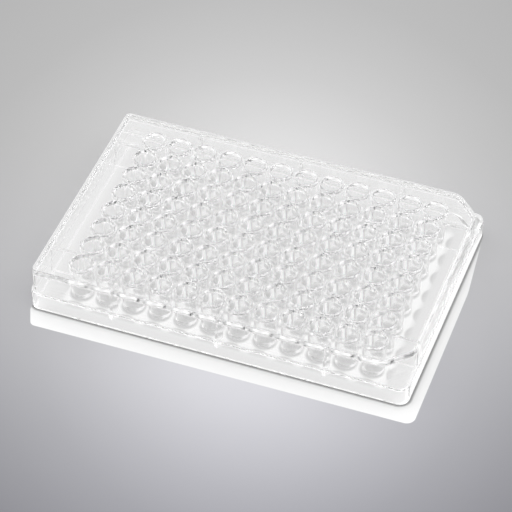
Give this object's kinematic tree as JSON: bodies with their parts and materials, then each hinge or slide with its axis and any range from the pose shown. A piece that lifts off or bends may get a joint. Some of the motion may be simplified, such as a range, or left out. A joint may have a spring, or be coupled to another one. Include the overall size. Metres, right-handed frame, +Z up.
{
  "type": "well plate",
  "caption": "Shallow clear plastic plate with rows of round flat-bottomed wells, a raised rim and a wide skirt that stands flat on a bench.",
  "frame": {"origin": "on the resting plane, under the middle of the well array", "axes": "+X along the twelve columns, away from column 1 and towards the two cut corners; +Y towards row A; +Z up, out of the wells"},
  "size_m": [0.1278, 0.0854, 0.0152],
  "materials": {
    "clear_polystyrene": "polished clear moulded plastic"
  },
  "bodies": {
    "root": {"well_plate": "clear_polystyrene"}
  },
  "joints": []
}
